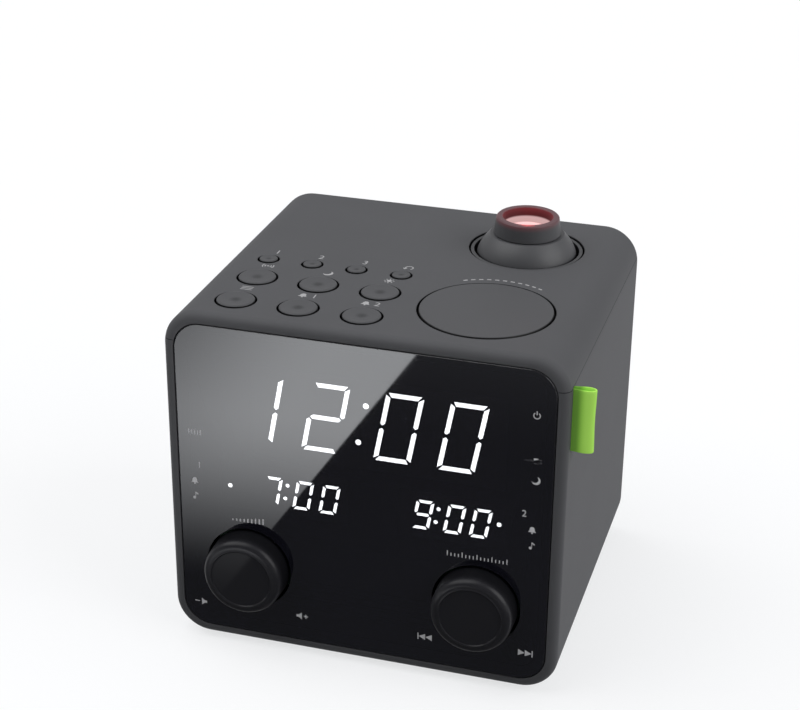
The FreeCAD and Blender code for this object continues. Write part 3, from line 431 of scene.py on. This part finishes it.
# One layer of the tape, from its end in the slit: each point's X, and its distance from the tab's middle.
side, in_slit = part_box("lower_housing")[1].x, 0.00072
half_path = [(tab_low.x, in_slit), (side, in_slit), (side + 0.0017, 0.00115), (side + 0.0037, 0.0015),
             (side + 0.0053, 0.0013), (side + 0.0063, 0.0008)]
tab_path = [(x, tab_mid - y) for x, y in half_path] + [(side + 0.0066, tab_mid)]
tab_path += [(x, tab_mid + y) for x, y in reversed(half_path)]
runs = [0.0]
for (x0, y0), (x1, y1) in zip(tab_path, tab_path[1:]):
    runs.append(runs[-1] + math.hypot(x1 - x0, y1 - y0))
bpy.ops.object.select_all(action="DESELECT")
last = len(tab_path) - 1
bpy.ops.mesh.primitive_grid_add(x_subdivisions=last, y_subdivisions=6, size=1, location=(0, 0, 0))
tab = bpy.context.active_object
tab.name = "ribbon_tab"
uv = tab.data.uv_layers.active or tab.data.uv_layers.new(name="tape")
steps = [(round((p.co.x + 0.5) * last), p.co.y + 0.5) for p in tab.data.vertices]
for loop in tab.data.loops:
    step, share = steps[loop.vertex_index]
    uv.data[loop.index].uv = (runs[step], share * tab_h)
for point, (step, share) in zip(tab.data.vertices, steps):
    x, y = tab_path[step]
    rolled = 0.00012 * math.cos(share * 2 * math.pi) if 1 < step < last - 1 else 0
    point.co = (x + rolled, y, tab_low.z + share * tab_h)
for kind, name, settings in (
    ("SUBSURF", "round", {"levels": 2, "render_levels": 2}),
    ("SOLIDIFY", "cloth", {"thickness": 0.0006, "offset": 0.0}),
    ("BEVEL", "edge", {"width": 0.0002, "segments": 2}),
):
    modifier = tab.modifiers.new(name, kind)
    for key, value in settings.items():
        setattr(modifier, key, value)
    bpy.ops.object.modifier_apply(modifier=name)
bpy.ops.object.shade_smooth_by_angle(angle=math.radians(50))
tape = Finish("lime_tape")
on_tape = tape.node("ShaderNodeUVMap", {"uv_map": uv.name})
run = tape.node("ShaderNodeSeparateXYZ", None, {"Vector": on_tape}, out=0)
rise = tape.node("ShaderNodeSeparateXYZ", None, {"Vector": on_tape}, out=1)
weft, warp, hem, stitch_in, stitch_pitch = 0.00042, 0.00055, 0.0011, 0.0012, 0.0016
thread = rise.wave(weft) * 0.65 + run.wave(warp) * 0.35
selvedge_and_highlight = 1 - rise.between(hem, tab_h - hem, 0.00025)
stitch_line = abs(abs(rise - tab_h / 2) - (tab_h / 2 - stitch_in)).step(0.00016, 0.00008)
stitch = stitch_line * run.wave(stitch_pitch).step(0.45, 0.6)
# Painted highlight: the fold, at the loop's outer end, is paler.
fold_highlight = abs(run - runs[-1] / 2).step(0.0022, 0.0006)
# Painted shade: the tape is dark green next to the body and bright further out.
out = tape.along("X").step(side + 0.0013, side + 0.0045)
cloth = tape.mix(out, (0.004, 0.15, 0.001), (0.24, 0.80, 0.006))
cloth = tape.mix(fold_highlight * 0.75, cloth, (0.48, 0.86, 0.26))
# The edges are a little pale as selvedges, and paler away from the body as painted highlight.
cloth = tape.mix(selvedge_and_highlight * (0.35 + out * 0.5), cloth, (0.50, 0.86, 0.16))
cloth = tape.mix(stitch * 0.5, cloth, (0.52, 0.90, 0.12))
tape.surface(
    Base_Color=tape.mix((1 - thread) * 0.25, cloth, (0.015, 0.18, 0.001)),
    Roughness=0.75 + thread * 0.12,
    Specular_IOR_Level=0.12,
    # Painted light: the tape glows a little, though it is no lamp.
    Emission_Color=cloth,
    Emission_Strength=0.2,
    Normal=tape.bump(thread + stitch * 1.5, 0.00007, 0.7),
)
tab.data.materials.append(tape.material)
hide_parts("side_tab")
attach(tab, "case")


# Printing: plain figures and signs in light grey ink, screened on the panel and on the top.
# They are flat shapes a few hundredths of a millimetre thick on the surface that carries them.
def screened(name, thin, thick):
    """Ink: a little thinner where the mesh of the screen left it so."""
    ink = Finish(name)
    mesh = ink.noise(2500, 2.0)
    return ink.surface(
        Base_Color=ink.mix(mesh, (thin, thin, thin * 1.03), (thick, thick, thick * 1.03)),
        Roughness=0.6 + mesh * 0.1,
        Specular_IOR_Level=0.2,
    )


def bar(x0, y0, x1, y1):
    return [(x0, y0), (x1, y0), (x1, y1), (x0, y1)]


def arc(r, start, end, x=0.0, y=0.0, parts=20):
    turns = [math.radians(start + (end - start) * i / parts) for i in range(parts + 1)]
    return [(x + r * math.cos(turn), y + r * math.sin(turn)) for turn in turns]


def disc(r, x=0.0, y=0.0):
    return arc(r, 0, 345, x, y, 23)


def mirror(lines):
    return [[(-x, y) for x, y in line] for line in lines]


def printed(sheet, x, y, lines, size=1.0):
    """Flat outlines in mm round a point of the sheet, or a figure as text.

    An outline inside another is a hole. x is from the case's middle, and y from its foot or its face.
    """
    plain = isinstance(lines, str)
    drawn = bpy.data.curves.new(sheet, "FONT" if plain else "CURVE")
    drawn.extrude = 0.000015
    if plain:
        drawn.body, drawn.size, drawn.align_x, drawn.align_y = lines, size / 1000, "CENTER", "CENTER"
    else:
        drawn.dimensions, drawn.fill_mode = "2D", "BOTH"
        for line in lines:
            spline = drawn.splines.new("POLY")
            spline.points.add(len(line) - 1)
            for point, corner in zip(spline.points, line):
                point.co = (corner[0] * size / 1000, corner[1] * size / 1000, 0, 1)
            spline.use_cyclic_u = True
    made = bpy.data.objects.new(sheet, drawn)
    bpy.context.scene.collection.objects.link(made)
    bpy.ops.object.select_all(action="DESELECT")
    made.select_set(True)
    bpy.context.view_layer.objects.active = made
    bpy.ops.object.convert(target="MESH")
    made = bpy.context.active_object
    x, y = x / 1000 + case_mid, y / 1000
    proud, foot = 0.000012, 0.002
    if sheet == "panel_print":
        upright = Matrix.Rotation(math.pi / 2, 4, "X")
        made.data.transform(Matrix.Translation((x, face - proud, y + foot)) @ upright)
    else:
        made.data.transform(Matrix.Translation((x, y + face, case_top + proud)))
    return made


def one_sheet(name, pieces, ink):
    """Joins all that is printed on one surface, as the screen prints it in one pass."""
    bpy.ops.object.select_all(action="DESELECT")
    for piece in pieces:
        piece.select_set(True)
    bpy.context.view_layer.objects.active = pieces[0]
    bpy.ops.object.join()
    made = bpy.context.active_object
    made.name = name
    made.data.validate()
    made.data.materials.clear()
    made.data.materials.append(ink)
    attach(made, "case")
    return made


bell = [[(-1.25, -0.8), (1.25, -0.8), (0.85, -0.3), (0.75, 0.55), (0.35, 1.05), (-0.35, 1.05), (-0.75, 0.55),
         (-0.85, -0.3)], disc(0.28, 0, -1.12)]
flag = [(0.02, 1.2), (0.85, 0.6), (0.75, 0.25), (0.02, 0.75)]
note = [disc(0.48, -0.5, -0.85), bar(-0.2, -0.8, 0.0, 1.2), flag]
moon = [arc(1.4, 75, -165) + arc(1.2137, -138, 48, -0.45, 0.45)]
rays = [arc(1.35, a - 7, a + 7, parts=3) + arc(0.9, a + 7, a - 7, parts=3) for a in range(0, 360, 45)]
sun = [disc(0.62)] + rays
start = [arc(1.15, 125, 415) + arc(0.85, 415, 125), bar(-0.15, 0.25, 0.15, 1.5)]
pins = [bar(1.3, 0.25, 2.1, 0.5), bar(1.3, -0.5, 2.1, -0.25)]
plug = [bar(-2.1, -0.14, 0.2, 0.14), bar(0.2, -0.75, 1.3, 0.75)] + pins
speaker = [[(-1.5, -0.45), (-0.75, -0.45), (0.35, -1.3), (0.35, 1.3), (-0.75, 0.45), (-1.5, 0.45)]]
louder = speaker + [bar(1.0, -0.15, 2.5, 0.15), bar(1.6, 0.19, 1.9, 0.75), bar(1.6, -0.75, 1.9, -0.19)]
softer = mirror(speaker) + [bar(-2.7, -0.15, -1.0, 0.15)]
arrows = [[(-2.3, -1.15), (-0.1, 0), (-2.3, 1.15)], [(-0.05, -1.15), (2.1, 0), (-0.05, 1.15)]]
onward = [bar(2.15, -1.2, 2.5, 1.2)] + arrows
rising = [bar(1.3 * i - 5.4, -1.0, 1.3 * i - 4.95, -0.4 + 0.19 * i) for i in range(9)]
scale = [bar(1.2 * i - 9.75, -0.9, 1.2 * i - 9.45, 0.9 if i % 4 == 0 else 0.2) for i in range(17)]
bands = [bar(1.0 * i - 2.4, -0.9, 1.0 * i - 2.0, 0.9 - 0.35 * (i % 2)) for i in range(5)]
both_sides = [(r, a) for r in (1.0, 1.7) for a in (0, 180)]
waves = [disc(0.3)] + [arc(r, a - 38, a + 38) + arc(r - 0.28, a + 38, a - 38) for r, a in both_sides]
rows = [bar(-1.6, y - 0.14, 1.6, y + 0.14) for y in (-0.9, 0, 0.9)]
turning = [arc(1.2, -60, 200) + arc(0.9, 200, -60), [(-1.75, -0.3), (-0.4, -0.3), (-1.08, -1.2)]]
panel_signs = [
    (55.2, 98.2, start), (54.6, 82.9, plug, 1.25), (55.8, 76.2, moon), (52.6, 64.2, "2", 3.2),
    (55.3, 58.9, bell), (55.5, 53.3, note), (-55.2, 75.5, bands), (-54.2, 63.6, "1", 3.2),
    (-56.0, 57.9, bell), (-55.8, 52.4, note), (-38.1, 46.2, rising), (38.2, 46.0, scale),
    (-55.0, 12.1, softer), (-20.5, 13.0, louder), (21.8, 13.2, mirror(onward)), (54.8, 13.7, onward),
]
panel_print = one_sheet("panel_print", [printed("panel_print", *sign) for sign in panel_signs],
                        screened("panel_ink", 0.74, 0.84))
top_signs = [
    (-46.2, 55.0, "1", 4.0), (-31.0, 55.0, "2", 4.0), (-15.8, 55.0, "3", 4.0), (-0.8, 55.2, turning, 1.2),
    (-45.3, 42.8, waves, 1.2), (-24.6, 42.8, moon, 1.2), (-3.9, 42.8, sun, 1.3),
    (-45.3, 23.4, rows, 1.2), (-26.4, 23.4, bell, 1.2), (-22.6, 23.4, "1", 4.0), (-5.7, 23.4, bell, 1.2),
    (-1.9, 23.4, "2", 4.0),
]
dashes = [arc(24.9, a - 1.6, a + 1.6, parts=4) + arc(24.3, a + 1.6, a - 1.6, parts=4)
          for a in range(60, 124, 6)]
top_signs.append((31.6, 29.5, dashes))
top_print = one_sheet("top_print", [printed("top_print", *sign) for sign in top_signs],
                      screened("top_ink", 0.40, 0.48))


# Stage: a pale floor, two soft lamps on the right and the top left, and a long box light that lies low in
# front on the left, which the panel mirrors up to the light's straight edge.
def sheet_on_floor(name, height, half_x, half_y, middle):
    bpy.ops.object.select_all(action="DESELECT")
    bpy.ops.mesh.primitive_plane_add(size=2, location=(0, 0, 0))
    made = bpy.context.active_object
    made.name = name
    for point in made.data.vertices:
        point.co = (middle[0] + point.co.x * half_x, middle[1] + point.co.y * half_y, height)
    return made


floor = sheet_on_floor("floor", 0.0, 4.0, 4.0, (0, 0))
pale = Finish("pale_floor")
white_to = ("Is Camera Ray", "Is Glossy Ray", "Is Transmission Ray")
seen = sum(pale.node("ShaderNodeLightPath", out=ray) for ray in white_to)
pale.surface(Base_Color=(0.30, 0.30, 0.305), Roughness=0.9, Specular_IOR_Level=0.0,
             Emission_Color=(0.98, 0.99, 1.0), Emission_Strength=seen * 0.72)
floor.data.materials.append(pale.material)

box_light = sheet_on_floor("front_box_light", 0.0012, 0.30, 0.26, (0.0, -0.315))
silk = Finish("box_light_silk")
# The lit part ends on the right in a straight, slightly slanting edge through this point. It is brightest
# next to that edge and away from the clock, and the rest of the cloth is dim.
edge_at, edge_slant, brightest = (-0.0611, -0.1209), 0.0537, 3.75
x, y = silk.along("X"), silk.along("Y")
edge_x = edge_at[0] - (y - edge_at[1]) * edge_slant
lit_side = (x - edge_x).below(0, 0.0004)
silk_light = lit_side * y.step(-0.085, -0.220) * (0.27 + x.step(-0.200, -0.085) * 0.73) * brightest
dim_light = 0.09 + y.step(-0.20, -0.36) * 0.15
cloth_glow = {"Color": (0.95, 0.97, 1.0), "Strength": silk_light + dim_light}
silk.put(silk.output.inputs["Surface"], silk.node("ShaderNodeEmission", None, cloth_glow))
box_light.data.materials.append(silk.material)
for ray in ("camera", "diffuse", "transmission", "shadow", "volume_scatter"):
    setattr(box_light, f"visible_{ray}", False)

# Room: white where the camera sees it. Its light comes from above, the sides and the back, and little of
# it from in front, where the panel would mirror it.
room = Finish("studio", "worlds")
bpy.context.scene.world = room.material
in_front = (0 - room.along("Y", "Generated")).step(0.05, 0.85)
lighting = 0.45 * (1 - in_front * 0.80)
to_camera = room.node("ShaderNodeLightPath", out="Is Camera Ray")
room.surface(Color=(1, 1, 1), Strength=to_camera + (1 - to_camera) * lighting)


def lamp_at(name, azimuth, elevation, strength, spread):
    """A far soft lamp: azimuth 0 is in front of the clock and 90 on its right."""
    bpy.ops.object.select_all(action="DESELECT")
    turn, lift = math.radians(azimuth), math.radians(elevation)
    way = Vector((math.sin(turn) * math.cos(lift), -math.cos(turn) * math.cos(lift), math.sin(lift)))
    bpy.ops.object.light_add(type="SUN", location=way)
    made = bpy.context.active_object
    made.name, made.data.energy, made.data.angle = name, strength, math.radians(spread)
    made.rotation_mode = "QUATERNION"
    made.rotation_quaternion = (-way).to_track_quat("-Z", "Y")


lamp_at("right_lamp", 82, 32, 1.25, 50)
lamp_at("top_left_lamp", -75, 60, 1.45, 60)

# Camera: where the photograph was taken from, worked out from the case's straight edges.
# It stands to the right and above, and its lens is shifted a little, as the cut picture was.
right = Vector((0.9576, 0.288, 0.00774))
down = Vector((0.13145, -0.41285, -0.90127))
ahead = Vector((-0.25636, 0.86407, -0.4332))
camera = bpy.data.cameras.new("camera")
camera.sensor_width, camera.lens = 36.0, 83.832
camera.shift_x, camera.shift_y = 0.0071, 0.0241
camera.clip_start, camera.clip_end = 0.01, 20
viewer = bpy.data.objects.new("camera", camera)
bpy.context.scene.collection.objects.link(viewer)
axes = Matrix((right, -down, -ahead)).transposed()
viewer.rotation_mode = "QUATERNION"
viewer.rotation_quaternion = axes.to_quaternion()
viewer.location = (0.15156, -0.53976, 0.35129)
bpy.context.scene.camera = viewer
bpy.context.scene.view_settings.view_transform = "Standard"
